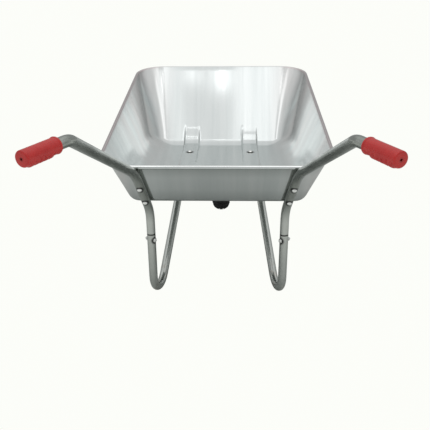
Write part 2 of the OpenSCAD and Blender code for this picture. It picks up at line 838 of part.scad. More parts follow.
module hub() {
  color(galvanised) placed() at_axle() difference() {
    translate([0, 0, -hub_len / 2]) cylinder(r = hub_r, h = hub_len);
    translate([0, 0, -hub_len]) cylinder(d = bearing_d + 0.04, h = 2 * hub_len);
  }
}

module bearing() {
  seat_len = 14;
  flange_d = bearing_d + 6;
  difference() {
    union() {
      translate([0, 0, hub_len / 2 - seat_len]) cylinder(d = bearing_d, h = seat_len);
      translate([0, 0, hub_len / 2 + 0.02]) cylinder(d = flange_d, h = bearing_flange_t - 0.02);
      translate([0, 0, hub_len / 2 - 1]) cylinder(d = bearing_d, h = 2);
    }
    cylinder(d = axle_d + 2 * running_gap, h = hub_len);
  }
}

module right_bearing() {
  color("dimgray") placed() at_axle() bearing();
}

module left_bearing() {
  color("dimgray") placed() at_axle() mirror([0, 0, 1]) bearing();
}

module at_rim_bolts(z) {
  for (i = [0:rim_bolts_n - 1]) rotate([0, 0, (i + 0.5) * 360 / rim_bolts_n])
    translate([rim_bolt_circle_r, 0, z]) children();
}

rim_stack = rim_t + face_gap;

module rim_bolts() {
  color(bright_steel) placed() at_axle()
    at_rim_bolts(rim_stack + face_gap) domed_bolt(2 * rim_stack + nut_h + 3, rim_bolt_d, 12, 4);
}

module rim_nuts() {
  color(bright_steel) placed() at_axle()
    at_rim_bolts(-rim_stack - face_gap - nut_h) hex_nut(rim_bolt_d, nut_w, nut_h);
}

// The valve points from the tube towards the axle, through the right rim half
valve_top_r = tyre_mid_r + (hollow_rise - 0.6) * cos(105) - 0.3;
valve_len = 46;
valve_cap_len = 14;

module at_valve(r) {
  at_axle() translate([0, 0, valve_x]) rotate([0, -90, 0]) translate([0, 0, r]) children();
}

module valve_stem() {
  color(tyre_black) placed() at_valve(valve_top_r - valve_len) union() {
    cylinder(d = valve_d - 2, h = valve_len);
    translate([0, 0, valve_cap_len]) cylinder(d = valve_d, h = valve_len - valve_cap_len);
  }
}

module valve_cap() {
  color(tyre_black) placed() at_valve(valve_top_r - valve_len) difference() {
    translate([0, 0, -2]) cylinder(d = valve_d + 1, h = valve_cap_len + 2 - face_gap);
    translate([0, 0, -face_gap]) cylinder(d = valve_d - 2 + 2 * face_gap, h = valve_cap_len + 1);
  }
}

// ---------- build ----------

tray();
left_handle();
right_handle();
left_frame_tube();
right_frame_tube();
left_grip();
right_grip();
handle_bolts();
handle_bolt_washers();
handle_bolt_nuts();
floor_bolts();
floor_bolt_washers();
floor_bolt_nuts();
leg_bolts();
leg_nuts();
axle();
axle_nuts();
axle_washers();
axle_spacers();
tyre();
inner_tube();
left_rim();
right_rim();
rim_bolts();
rim_nuts();
hub();
left_bearing();
right_bearing();
valve_stem();
valve_cap();
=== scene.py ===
import bpy
import json
import math
import bmesh
from mathutils import Matrix, Vector


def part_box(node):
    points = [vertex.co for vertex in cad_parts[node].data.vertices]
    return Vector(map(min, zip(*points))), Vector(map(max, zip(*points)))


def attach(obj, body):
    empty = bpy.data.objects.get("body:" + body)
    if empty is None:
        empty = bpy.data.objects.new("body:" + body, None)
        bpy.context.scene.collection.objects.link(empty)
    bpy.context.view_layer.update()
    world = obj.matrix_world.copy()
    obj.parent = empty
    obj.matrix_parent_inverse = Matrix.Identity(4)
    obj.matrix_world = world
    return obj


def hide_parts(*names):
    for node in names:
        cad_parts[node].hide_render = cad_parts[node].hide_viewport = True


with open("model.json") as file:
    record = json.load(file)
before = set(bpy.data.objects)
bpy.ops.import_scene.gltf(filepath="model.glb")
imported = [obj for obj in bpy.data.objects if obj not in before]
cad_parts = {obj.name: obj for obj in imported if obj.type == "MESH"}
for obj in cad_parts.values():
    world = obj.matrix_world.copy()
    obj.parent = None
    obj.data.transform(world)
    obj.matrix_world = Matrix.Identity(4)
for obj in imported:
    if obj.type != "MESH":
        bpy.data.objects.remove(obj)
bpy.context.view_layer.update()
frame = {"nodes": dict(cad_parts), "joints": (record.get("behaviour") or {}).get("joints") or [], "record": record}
record = frame["record"]
cadNodes = frame["nodes"]
axle = Vector(frame["joints"][0]["pos_m"])
print("frame loaded")


# mesh helpers
mergeDistance = 1e-6


def mix(a, b, t):
    return a + (b - a) * t


def clamp(v, low, high):
    return max(low, min(high, v))


def smooth(t):
    return t * t * (3 - 2 * t)


def mirrored(v):
    return Vector((-v.x, v.y, v.z))


def shade(piece, sharpAngle):
    piece.data.shade_smooth()
    piece.data.set_sharp_from_angle(angle=math.radians(sharpAngle))


def meshPiece(name, points, faces, sharpAngle=40):
    mesh = bpy.data.meshes.new(name)
    mesh.from_pydata([tuple(p) for p in points], [], faces)
    mesh.validate()
    mesh.update()
    piece = bpy.data.objects.new(name, mesh)
    bpy.context.scene.collection.objects.link(piece)
    shade(piece, sharpAngle)
    return piece


def faceOutward(piece):
    bm = bmesh.new()
    bm.from_mesh(piece.data)
    bmesh.ops.remove_doubles(bm, verts=bm.verts, dist=mergeDistance)
    bmesh.ops.recalc_face_normals(bm, faces=bm.faces)
    bm.to_mesh(piece.data)
    bm.free()


def shiftMesh(piece, offset):
    piece.data.transform(Matrix.Translation(offset))
    piece.data.update()


def finishPiece(piece, body, slotName, *replaced):
    piece.data.materials.clear()
    piece.data.materials.append(finishes[slotName])
    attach(piece, body)
    if replaced:
        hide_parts(*replaced)


# sizes that the materials need too
tubes = {
    "radius": 0.0125, "legToAxle": 0.722, "legX": 0.1935, "jointZ": 0.214,
    "shoulderX": 0.2165, "shoulderZ": 0.429, "wallGap": 0.0003,
}
legY = axle.y - tubes["legToAxle"]   # the upright legs stand here
tray = {
    "topWidth": 0.626, "floorWidth": 0.484, "topLength": 0.869, "floorLength": 0.561,
    "rearRun": 0.082, "floorZ": 0.315, "rearDepth": 0.134, "frontDepth": 0.247,
    "setback": 0.002, "sheet": 0.001, "startCorner": 0.016, "rearCorner": 0.1,
    "frontCorner": 0.09, "rearEase": 3, "sideFillet": 0.09, "rearFillet": 0.018,
    "frontFillet": 0.06, "beadRadius": 0.0045, "beadTurn": 285,
    "ribWidth": 0.06, "ribHeight": 0.008, "ribEdge": 0.007, "ribStart": 0.15,
    "ribClimb": 0.048, "ribX": 0.1066, "ribEdgeSteps": 8,
    "leadStep": 0.009, "leadSteps": 4, "leadMargin": 0.025,   # shares of the floor's length
    "columns": 40, "rows": 26, "columnMargin": 0.55,
    "cornerSteps": 18, "filletSteps": 12, "wallSteps": 16, "beadSteps": 22, "sharp": 50,
}
tray["slope"] = (tray["frontDepth"] - tray["rearDepth"]) / tray["topLength"]
rearRimY = legY - tray["setback"] - tray["rearRun"]
tray["rimBase"] = tray["floorZ"] + tray["rearDepth"] - tray["slope"] * rearRimY
bolt = {
    "shank": 0.003, "chamfer": 0.0006, "head": 0.0068, "headHeight": 0.0048,
    "headRim": 0.0008, "headEdge": 0.0003, "domeSteps": 9, "around": 40, "sharp": 35,
    "grip": 0.0263, "washer": 0.0012, "washerRadius": 0.009, "nut": 0.005, "tail": 0.004,
    "gap": 0.00005, "handleZ": (0.381, 0.331), "legZ": 0.195, "legWay": (-0.85, -0.53, 0),
}
tubeSeat = tubes["radius"] + bolt["gap"]   # from a tube's middle to a bolt head
grip = {
    "end": Vector((0.3375, legY - 0.554, 0.620)),
    "elbow": Vector((0.2805, legY - 0.439, 0.623)),
    "length": 0.092, "radius": 0.0166, "bore": 0.01255, "hole": 0.0025, "wall": 0.003,
    "round": 0.0032, "roundSteps": 6, "bodyFrom": 0.0036, "bodyEnd": 0.006, "bodySteps": 130,
    "ridges": 5, "ridgeFrom": 0.0115, "ridgePitch": 0.0122, "ridgeHeight": 0.0026,
    "ridgeLead": 0.2, "ridgeTail": 0.3, "ridgeStart": 0.12, "ridgeShare": 0.62,
    "ridgeEase": 0.14, "underFrom": 0.05, "underEase": 0.6,
    # back from the end and out from the radius
    "collar": [(0.005, 0.0008), (0.003, 0.0012), (0.0008, 0.0006), (0, -0.0006)],
    "mouthWidth": 0.0004, "mouthDepth": 0.0006, "around": 72, "sharp": 38,
}


def handleBoltPlaces():
    # along the handle where it lies against the rear wall
    rearLean = math.atan2(tray["rearRun"], tray["rearDepth"])
    normal = Vector((0, -math.cos(rearLean), -math.sin(rearLean)))
    tubeOff = (tubes["radius"] + tubes["wallGap"]) / math.cos(rearLean)
    topZ = tubes["shoulderZ"]
    topY = legY - tray["setback"] - (topZ - tray["floorZ"]) * math.tan(rearLean) - tubeOff
    kneeZ = tray["floorZ"] + (-tray["setback"] - tubeOff) / math.tan(rearLean)
    shoulder = Vector((tubes["shoulderX"], topY, topZ))
    knee = Vector((tubes["legX"], legY, kneeZ))
    places = []
    for z in bolt["handleZ"]:
        seat = shoulder.lerp(knee, (topZ - z) / (topZ - kneeZ)) + normal * tubeSeat
        places += [(seat, normal), (mirrored(seat), mirrored(normal))]
    return places


def legBoltPlaces():
    way = Vector(bolt["legWay"]).normalized()
    seat = Vector((tubes["legX"], legY, bolt["legZ"])) + way * tubeSeat
    return [(seat, way), (mirrored(seat), mirrored(way))]


def floorBoltSpots():
    low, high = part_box("floor_bolt_washers")
    x, y, z = high.x - bolt["washerRadius"], (low.y + high.y) / 2, high.z + bolt["gap"]
    return [Vector((side * x, y, z)) for side in (-1, 1)]


# materials
noiseRange = (0.3, 0.7)   # most of a noise lies between these


class Finish:
    # a Principled material with short ways to add its patterns
    def __init__(self, name, color, metallic, roughness):
        self.material = bpy.data.materials.new(name)
        self.material.use_nodes = True
        self.tree = self.material.node_tree
        self.shader = self.tree.nodes["Principled BSDF"]
        self.shader.inputs["Base Color"].default_value = (*color, 1)
        self.shader.inputs["Metallic"].default_value = metallic
        self.shader.inputs["Roughness"].default_value = roughness
        self.coord = self.tree.nodes.new("ShaderNodeTexCoord")
        self.bump = None

    def link(self, a, b):
        self.tree.links.new(a, b)

    def mapped(self, scale, turn=(0, 0, 0)):
        node = self.tree.nodes.new("ShaderNodeMapping")
        node.inputs["Scale"].default_value = scale
        node.inputs["Rotation"].default_value = [math.radians(a) for a in turn]
        self.link(self.coord.outputs["Object"], node.inputs["Vector"])
        return node.outputs["Vector"]

    def noise(self, scale, detail=3, rough=0.55, stretch=(1, 1, 1), turn=(0, 0, 0)):
        node = self.tree.nodes.new("ShaderNodeTexNoise")
        node.inputs["Scale"].default_value = scale
        node.inputs["Detail"].default_value = detail
        node.inputs["Roughness"].default_value = rough
        self.link(self.mapped(stretch, turn), node.inputs["Vector"])
        return node.outputs["Fac"]

    def spangle(self, scale):
        node = self.tree.nodes.new("ShaderNodeTexVoronoi")
        node.inputs["Scale"].default_value = scale
        node.inputs["Randomness"].default_value = 1
        self.link(self.mapped((1, 1, 1)), node.inputs["Vector"])
        separate = self.tree.nodes.new("ShaderNodeSeparateColor")
        self.link(node.outputs["Color"], separate.inputs["Color"])
        return separate.outputs["Red"]

    def ranged(self, value, fromLow, fromHigh, low, high):
        node = self.tree.nodes.new("ShaderNodeMapRange")
        self.link(value, node.inputs["Value"])
        keys = ("From Min", "From Max", "To Min", "To Max")
        for key, number in zip(keys, (fromLow, fromHigh, low, high)):
            node.inputs[key].default_value = number
        return node.outputs["Result"]

    def calc(self, a, b, kind="ADD"):
        node = self.tree.nodes.new("ShaderNodeMath")
        node.operation = kind
        for i, value in enumerate((a, b)):
            if isinstance(value, (int, float)):
                node.inputs[i].default_value = value
            else:
                self.link(value, node.inputs[i])
        return node.outputs[0]

    def times(self, a, b):
        return self.calc(a, b, "MULTIPLY")

    def away(self, value, middle=0):
        # how far the value lies from the middle one
        return self.calc(self.calc(value, -middle) if middle else value, 0, "ABSOLUTE")

    def ramp(self, value, stops):
        node = self.tree.nodes.new("ShaderNodeValToRGB")
        self.link(value, node.inputs["Fac"])
        elements = node.color_ramp.elements
        while len(elements) < len(stops):
            elements.new(0.5)
        for element, (at, color) in zip(elements, stops):
            element.position = at
            element.color = (*color, 1)
        return node.outputs["Color"]

    def blend(self, amount, a, b):
        # colours, each a socket or a plain tone
        node = self.tree.nodes.new("ShaderNodeMix")
        node.data_type = "RGBA"
        node.clamp_factor = True
        self.link(amount, node.inputs["Factor"])
        for key, value in ((6, a), (7, b)):   # the two colour sockets
            if isinstance(value, tuple):
                node.inputs[key].default_value = (*value, 1)
            else:
                self.link(value, node.inputs[key])
        return node.outputs[2]

    def mixed(self, amount, a, b):
        # values, all from sockets
        node = self.tree.nodes.new("ShaderNodeMix")
        node.clamp_factor = True
        for key, value in ((0, amount), (2, a), (3, b)):   # factor and the two values
            self.link(value, node.inputs[key])
        return node.outputs[0]

    def axes(self, output="Object"):
        node = self.tree.nodes.new("ShaderNodeSeparateXYZ")
        self.link(self.coord.outputs[output], node.inputs["Vector"])
        return node.outputs["X"], node.outputs["Y"], node.outputs["Z"]

    def near(self, spots, inner, outer):
        # 1 at any of the spots, 0 beyond the outer distance
        closest = None
        for spot in spots:
            node = self.tree.nodes.new("ShaderNodeVectorMath")
            node.operation = "DISTANCE"
            self.link(self.coord.outputs["Object"], node.inputs[0])
            node.inputs[1].default_value = tuple(spot)
            value = node.outputs["Value"]
            closest = value if closest is None else self.calc(closest, value, "MINIMUM")
        return self.ranged(closest, inner, outer, 1, 0)

    def color(self, value):
        self.link(value, self.shader.inputs["Base Color"])

    def roughness(self, value):
        self.link(value, self.shader.inputs["Roughness"])

    def raised(self, value, distance, strength):
        node = self.tree.nodes.new("ShaderNodeBump")
        node.inputs["Strength"].default_value = strength
        node.inputs["Distance"].default_value = distance
        self.link(value, node.inputs["Height"])
        if self.bump is not None:
            self.link(self.bump, node.inputs["Normal"])
        self.bump = node.outputs["Normal"]
        self.link(self.bump, self.shader.inputs["Normal"])


# Up is measured from the rim, Across from the middle of the tray
sheetLook = {
    "plain": (0.68, 0.7, 0.69), "rough": 0.16, "gloss": (0.165, 0.125),
    "streakTones": [(0.3, (0.63, 0.66, 0.657)), (0.5, (0.68, 0.707, 0.702)),
                    (0.7, (0.725, 0.748, 0.743))],
    "sideWall": (0.45, 0.8), "endStreaks": (34, 1.2, 1.2), "sideStreaks": (1.5, 30, 1.5),
    "endWaves": (9, 1.2, 1.2), "sideWaves": (1.0, 13, 3.5), "sideLean": (16, 0, 0),
    "crystalScale": 150, "crystals": 0.05, "crystalTone": (0.6, 0.61, 0.62),
    "warmAcross": (0.17, 0.25), "warmWaves": (0.4, 0.62), "warm": 0.4,
    "warmTone": (0.6, 0.53, 0.52),
    "pinkUp": (-0.003, 0.001), "pinkAcross": (0.22, 0.26), "pink": 0.35,
    "pinkTone": (0.6, 0.42, 0.43),
    # a painted highlight on the bead of the end rims
    "rimHighlightUp": (0, 0.003), "rimHighlightAcross": (0.3, 0.24), "wearAndHighlight": 0.85,
    "rimHighlightTone": (0.93, 0.94, 0.93),
    "facingDown": (-0.05, -0.3), "underRim": (-0.045, -0.01), "underRimShade": 0.5,
    "lowEdge": (0.365, 0.318), "lowEdgeShade": 0.45, "shadeTone": (0.27, 0.29, 0.28),
    "boltShadowAcross": (0.0095, 0.017), "boltShadowTone": (0.08, 0.08, 0.08),
    "endDents": 0.35, "dents": (0.0016, 0.45), "sagScale": 1.5, "sag": (0.006, 0.25),
}


def galvanisedSheet():
    look = sheetLook
    f = Finish("galvanisedSheet", look["plain"], 1, look["rough"])
    x, y, z = f.axes()
    sideways = f.ranged(f.away(f.axes("Normal")[0]), *look["sideWall"], 0, 1)
    # rolling streaks run up every wall, so they follow x on the ends and y on the sides
    streaks = f.mixed(sideways, f.noise(1, 3, 0.55, look["endStreaks"]),
                      f.noise(1, 3, 0.55, look["sideStreaks"]))
    endWaves = f.noise(1, 1, 0.4, look["endWaves"])
    sideWaves = f.noise(1, 2, 0.5, look["sideWaves"], look["sideLean"])
    waves = f.mixed(sideways, endWaves, sideWaves)
    height = f.mixed(sideways, f.times(endWaves, look["endDents"]), waves)
    crystals = f.spangle(look["crystalScale"])
    base = f.ramp(streaks, look["streakTones"])
    base = f.blend(f.ranged(crystals, 0, 1, 0, look["crystals"]), base, look["crystalTone"])
    # warm reflections in the side fillets
    aside = f.away(x)
    warm = f.times(f.ranged(aside, *look["warmAcross"], 0, look["warm"]),
                   f.ranged(waves, *look["warmWaves"], 0, 1))
    base = f.blend(warm, base, look["warmTone"])
    # pinkish side rims, and a painted highlight along the bead of the rear and front rims
    rimZ = f.calc(f.times(y, tray["slope"]), tray["rimBase"])
    overRim = f.calc(z, rimZ, "SUBTRACT")
    pink = f.times(f.ranged(overRim, *look["pinkUp"], 0, look["pink"]),
                   f.ranged(aside, *look["pinkAcross"], 0, 1))
    base = f.blend(pink, base, look["pinkTone"])
    wearAndHighlight = f.times(f.ranged(overRim, *look["rimHighlightUp"], 0, look["wearAndHighlight"]),
                   f.ranged(aside, *look["rimHighlightAcross"], 0, 1))
    base = f.blend(wearAndHighlight, base, look["rimHighlightTone"])
    # painted shade on the outside, under the rim and along the bottom
    outside = f.ranged(f.axes("Normal")[2], *look["facingDown"], 0, 1)
    outsideShade = f.calc(f.ranged(overRim, *look["underRim"], 0, look["underRimShade"]),
                   f.ranged(z, *look["lowEdge"], 0, look["lowEdgeShade"]), "MAXIMUM")
    base = f.blend(f.times(outsideShade, outside), base, look["shadeTone"])
    # painted shadow: a dark ring on the floor round each floor bolt
    rings = f.near(floorBoltSpots(), *look["boltShadowAcross"])
    f.color(f.blend(rings, base, look["boltShadowTone"]))
    f.roughness(f.ranged(streaks, *noiseRange, *look["gloss"]))
    f.raised(f.noise(look["sagScale"], 0, 0.4), *look["sag"])
    f.raised(height, *look["dents"])
    return f.material


# Up is the height above the ground, Across the distance from a bolt, joint or leg
tubeLook = {
    "plain": (0.36, 0.38, 0.35), "rough": 0.26, "gloss": (0.25, 0.17),
    "streaks": (70, 12, 6), "streakShare": 0.6, "cloudScale": 7, "cloudShare": 0.4,
    "tones": [(0.32, (0.27, 0.282, 0.26)), (0.5, (0.35, 0.365, 0.34)),
              (0.68, (0.45, 0.465, 0.435))],
    "legUp": (0.33, 0.28), "leg": 0.8, "legTone": (0.57, 0.585, 0.56),
    "rustUp": (0.075, 0.02), "rustScale": 45, "rustSpots": (0.5, 0.68), "rust": 0.5,
    "rustTone": (0.24, 0.12, 0.06),
    "contactShadeAcross": (0.009, 0.0135), "jointAcross": (0.0012, 0.003),
    "uprightAcross": (0.02, 0.03), "contactShade": 0.92, "contactShadeTone": (0.02, 0.02, 0.02),
    "grainScale": 260, "grain": (0.00006, 0.2),
}


def galvanisedTube():
    look = tubeLook
    f = Finish("galvanisedTube", look["plain"], 1, look["rough"])
    x, y, z = f.axes()
    streaks = f.noise(1, 3, 0.5, look["streaks"])
    clouds = f.noise(look["cloudScale"], 2, 0.5)
    tone = f.calc(f.times(streaks, look["streakShare"]), f.times(clouds, look["cloudShare"]))
    base = f.ramp(tone, look["tones"])
    # painted light: the tubes below the tray are lighter, for the brighter reflections on the legs
    base = f.blend(f.ranged(z, *look["legUp"], 0, look["leg"]), base, look["legTone"])
    # rust at the feet
    low = f.ranged(z, *look["rustUp"], 0, 1)
    patches = f.noise(look["rustScale"], 4, 0.7)
    rust = f.times(f.ranged(patches, *look["rustSpots"], 0, look["rust"]), low)
    base = f.blend(rust, base, look["rustTone"])
    # painted shade round the bolts and in the joints of the upright legs
    spots = [seat for seat, _ in handleBoltPlaces() + legBoltPlaces()]
    contactShade = f.near(spots, *look["contactShadeAcross"])
    joint = f.ranged(f.away(z, tubes["jointZ"]), *look["jointAcross"], 1, 0)
    upright = f.ranged(f.away(y, legY), *look["uprightAcross"], 1, 0)
    dark = f.calc(contactShade, f.times(joint, upright), "MAXIMUM")
    f.color(f.blend(f.times(dark, look["contactShade"]), base, look["contactShadeTone"]))
    f.roughness(f.ranged(streaks, *noiseRange, *look["gloss"]))
    f.raised(f.noise(look["grainScale"], 2, 0.5), *look["grain"])
    return f.material


gripLook = {
    "plain": (0.58, 0.028, 0.026), "rough": 0.36, "specular": 0.45,
    "cloudScale": 30, "tones": [(0.3, (0.52, 0.02, 0.02)), (0.7, (0.64, 0.034, 0.03))],
    "holeAcross": (0.0032, 0.006), "hole": 0.5, "holeTone": (0.12, 0.006, 0.006),
    "glossScale": 140, "gloss": (0.22, 0.34), "grainScale": 520, "grain": (0.0002, 0.4),
}


def gripPlastic():
    look = gripLook
    f = Finish("gripPlastic", look["plain"], 0, look["rough"])
    base = f.ramp(f.noise(look["cloudScale"], 3, 0.6), look["tones"])
    holes = f.near([grip["end"], mirrored(grip["end"])], *look["holeAcross"])
    f.color(f.blend(f.times(holes, look["hole"]), base, look["holeTone"]))
    f.roughness(f.ranged(f.noise(look["glossScale"], 3, 0.6), *noiseRange, *look["gloss"]))
    f.raised(f.noise(look["grainScale"], 2, 0.5), *look["grain"])
    f.shader.inputs["Specular IOR Level"].default_value = look["specular"]
    return f.material


# clouds, glossClouds and grain are each a noise: its scale, detail and roughness
plainLooks = {
    "tyreRubber": {
        "plain": (0.022, 0.022, 0.022), "metallic": 0, "rough": 0.72, "clouds": (22, 5, 0.65),
        "tones": [(0.35, (0.016, 0.016, 0.016)), (0.6, (0.028, 0.027, 0.026)),
                  (0.8, (0.05, 0.047, 0.043))],
        "gloss": (0.62, 0.86), "grain": (380, 3, 0.6), "raised": (0.0003, 0.5)},
    "tubeRubber": {
        "plain": (0.03, 0.03, 0.03), "metallic": 0, "rough": 0.55, "clouds": (40, 3),
        "tones": [(0.3, (0.02, 0.02, 0.02)), (0.7, (0.045, 0.044, 0.043))],
        "grain": (300, 2), "raised": (0.0002, 0.4)},
    "platedSteel": {
        "plain": (0.86, 0.86, 0.84), "metallic": 1, "rough": 0.16, "clouds": (90, 3, 0.6),
        "tones": [(0.3, (0.7, 0.7, 0.68)), (0.5, (0.87, 0.87, 0.85)),
                  (0.75, (0.95, 0.95, 0.93))],
        "gloss": (0.22, 0.11), "grain": (420, 2), "raised": (0.0001, 0.2)},
    # dark washer steel, painted shade round the bolt heads
    "washerShadeSteel": {
        "plain": (0.2, 0.2, 0.19), "metallic": 1, "rough": 0.45, "clouds": (120, 3, 0.6),
        "tones": [(0.3, (0.05, 0.05, 0.048)), (0.7, (0.14, 0.14, 0.132))],
        "grain": (420, 2), "raised": (0.0001, 0.3)},
    "rimSteel": {
        "plain": (0.5, 0.51, 0.5), "metallic": 0.9, "rough": 0.36, "clouds": (14, 4, 0.6),
        "tones": [(0.3, (0.36, 0.37, 0.36)), (0.55, (0.54, 0.55, 0.54)),
                  (0.75, (0.66, 0.66, 0.65))],
        "glossClouds": (60, 4, 0.6), "gloss": (0.44, 0.26),
        "grain": (220, 3), "raised": (0.0003, 0.3)},
    "bearingPlastic": {
        "plain": (0.05, 0.05, 0.05), "metallic": 0, "rough": 0.5, "clouds": (60, 3),
        "tones": [(0.3, (0.035, 0.035, 0.035)), (0.7, (0.07, 0.07, 0.07))],
        "grain": (400, 2), "raised": (0.0002, 0.4)},
}


def plainFinish(name):
    look = plainLooks[name]
    f = Finish(name, look["plain"], look["metallic"], look["rough"])
    clouds = f.noise(*look["clouds"])
    f.color(f.ramp(clouds, look["tones"]))
    if "gloss" in look:
        wearAndHighlight = f.noise(*look["glossClouds"]) if "glossClouds" in look else clouds
        f.roughness(f.ranged(wearAndHighlight, *noiseRange, *look["gloss"]))
    f.raised(f.noise(*look["grain"]), *look["raised"])
    return f.material


finishes = {
    "galvanised_sheet": galvanisedSheet(),
    "galvanised_tube": galvanisedTube(),
    "grip_plastic": gripPlastic(),
    "tyre_rubber": plainFinish("tyreRubber"),
    "tube_rubber": plainFinish("tubeRubber"),
    "plated_steel": plainFinish("platedSteel"),
    "rim_steel": plainFinish("rimSteel"),
    "bearing_plastic": plainFinish("bearingPlastic"),
    "dull_steel": plainFinish("washerShadeSteel"),
}
slotOf = {s["node"]: s["material_slot"] for s in record["subparts"]}
for nodeName, node in cadNodes.items():
    # the washers take a dark steel instead of their plated slot: painted shade round the bolt heads
    kind = "dull_steel" if nodeName.endswith("washers") else slotOf[nodeName]
    node.data.materials.clear()
    node.data.materials.append(finishes[kind])
print("materials made")


# tray
def wallSection(run, rise, radius, level):
    angle = math.atan2(rise, run)
    turned = angle * level[0]
    reach = -radius * math.tan(angle / 2) + radius * math.sin(turned)
    height = radius * (1 - math.cos(turned))
    return mix(reach, run, level[1]), mix(height, rise, level[1]), turned


def trayMesh():
    t = tray
    floorRear = legY - t["setback"]
    floorFront = floorRear + t["floorLength"]
    topRear = floorRear - t["rearRun"]
    topFront = topRear + t["topLength"]
    frontRun = topFront - floorFront
    sideRun = (t["topWidth"] - t["floorWidth"]) / 2
    sideAngle = math.atan2(t["frontDepth"], sideRun)
    flatHalf = t["floorWidth"] / 2 - t["sideFillet"] * math.tan(sideAngle / 2)
    edge = flatHalf - t["startCorner"]

    def ribProfile(x):
        d = abs(abs(x) - t["ribX"])
        return t["ribHeight"] * smooth(clamp((t["ribWidth"] / 2 - d) / t["ribEdge"], 0, 1))

    def skin(p, heading, out, raised):
        # the points on both faces of the sheet
        lean = math.sin(heading)
        n = Vector((-lean * math.cos(out), -lean * math.sin(out), math.cos(heading)))
        p = Vector(p)
        return p + n * raised, p + n * (raised + t["sheet"])

    # columns across the floor, closer together where a rib's edge rises
    width, spaces = 2 * edge, t["columns"]
    columns = set(round(-edge + width * i / spaces, 5) for i in range(1, spaces))
    for side in (-1, 1):
        for border in (-1, 1):
            middle = side * t["ribX"] + border * (t["ribWidth"] - t["ribEdge"]) / 2
            margin, parts = t["columnMargin"] * t["ribEdge"], t["ribEdgeSteps"]
            columns = {c for c in columns if abs(c - middle) > margin}
            columns |= {round(middle + t["ribEdge"] * (i / parts - 0.5), 5)
                        for i in range(parts + 1)}
    columns = sorted(columns)
    # closer rows where the ribs begin
    ribFrom, lead = t["ribStart"] / t["floorLength"], t["leadSteps"] * t["leadStep"]
    rows = [i / (t["rows"] + 1) for i in range(1, t["rows"] + 1)]
    rows = [q for q in rows if abs(q - ribFrom - lead / 2) > t["leadMargin"]]
    rows = sorted(rows + [ribFrom + t["leadStep"] * i for i in range(t["leadSteps"] + 1)])

    def corner(sign, q, start):
        return [(None, sign, q, math.radians(start + 90 * i / t["cornerSteps"]))
                for i in range(t["cornerSteps"] + 1)]

    # stations run round the tray, levels up from the floor's edge to the end of the bead
    stations = [(x, 0, 0, math.radians(-90)) for x in columns]
    stations += corner(1, 0, -90) + [(None, 1, q, 0.0) for q in rows] + corner(1, 1, 0)
    stations += [(x, 0, 1, math.radians(90)) for x in reversed(columns)]
    stations += corner(-1, 1, 90) + [(None, -1, q, math.pi) for q in reversed(rows)]
    stations += corner(-1, 0, 180)
    ring = len(stations)
    levels = [(i / t["filletSteps"], 0, 0) for i in range(t["filletSteps"] + 1)]
    levels += [(1, i / t["wallSteps"], 0) for i in range(1, t["wallSteps"] + 1)]
    levels += [(1, 1, i / t["beadSteps"]) for i in range(1, t["beadSteps"] + 1)]

    def stationPoint(station, level):
        fixedX, sign, q, out = station
        sideways = math.cos(out) ** 2
        topRadius = mix(t["rearCorner"], t["frontCorner"], q)
        rimY = mix(topRear + t["rearCorner"], topFront - t["frontCorner"], q)
        rimY += topRadius * math.sin(out)
        rise = mix(t["rearDepth"], t["frontDepth"], (rimY - topRear) / t["topLength"])
        side = wallSection(sideRun, rise, t["sideFillet"], level)
        rear = wallSection(t["rearRun"], rise, t["rearFillet"], level)
        front = wallSection(frontRun, rise, t["frontFillet"], level)
        end = rear if math.sin(out) < 0 else front
        sideStart = wallSection(sideRun, rise, t["sideFillet"], (0, 0, 0))[0]
        grown = (side[0] - sideStart) / (sideRun - sideStart)
        rearRadius = mix(t["startCorner"], t["rearCorner"], max(grown, 0) ** t["rearEase"])
        frontRadius = mix(t["startCorner"], t["frontCorner"], grown)
        radius = mix(rearRadius, frontRadius, q)
        if fixedX is None:
            x = sign * (t["floorWidth"] / 2 + side[0] - radius) + radius * math.cos(out)
        else:
            x = fixedX
        y = mix(floorRear - rear[0] + rearRadius, floorFront + front[0] - frontRadius, q)
        y += radius * math.sin(out)
        z = t["floorZ"] + mix(end[1], side[1], sideways)
        heading = mix(end[2], side[2], sideways)
        rolled = math.radians(t["beadTurn"]) * level[2]
        reach = t["beadRadius"] * (math.sin(heading) - math.sin(heading - rolled))
        lift = t["beadRadius"] * (math.cos(heading - rolled) - math.cos(heading))
        raised = 0
        if sign == 0 and q == 1:
            climbed = clamp((t["ribClimb"] - end[1]) / (t["ribClimb"] / 2), 0, 1)
            raised = ribProfile(fixedX) * smooth(climbed)
        p = (x + reach * math.cos(out), y + reach * math.sin(out), z + lift)
        return skin(p, heading - rolled, out, raised)

    rearFlat = wallSection(t["rearRun"], t["rearDepth"], t["rearFillet"], (0, 0, 0))[0]
    frontFlat = wallSection(frontRun, t["frontDepth"], t["frontFillet"], (0, 0, 0))[0]
    flatRear = floorRear - rearFlat + t["startCorner"]
    flatFront = floorFront + frontFlat - t["startCorner"]

    # a grid for the flat floor, with the ribs raised in it
    gridX = [-edge] + columns + [edge]
    gridQ = [0] + rows + [1]
    pairs = [stationPoint(s, level) for level in levels for s in stations]
    gridFrom = len(pairs)
    for q in gridQ:
        begun = smooth(clamp((q - ribFrom) / lead, 0, 1))
        y = mix(flatRear, flatFront, q)
        pairs += [skin((x, y, t["floorZ"]), 0, 0, ribProfile(x) * begun) for x in gridX]
    wide, deep, count = len(gridX), len(gridQ), len(pairs)
    points = [p[1] for p in pairs] + [p[0] for p in pairs]

    def grid(i, j):
        return gridFrom + j * wide + i

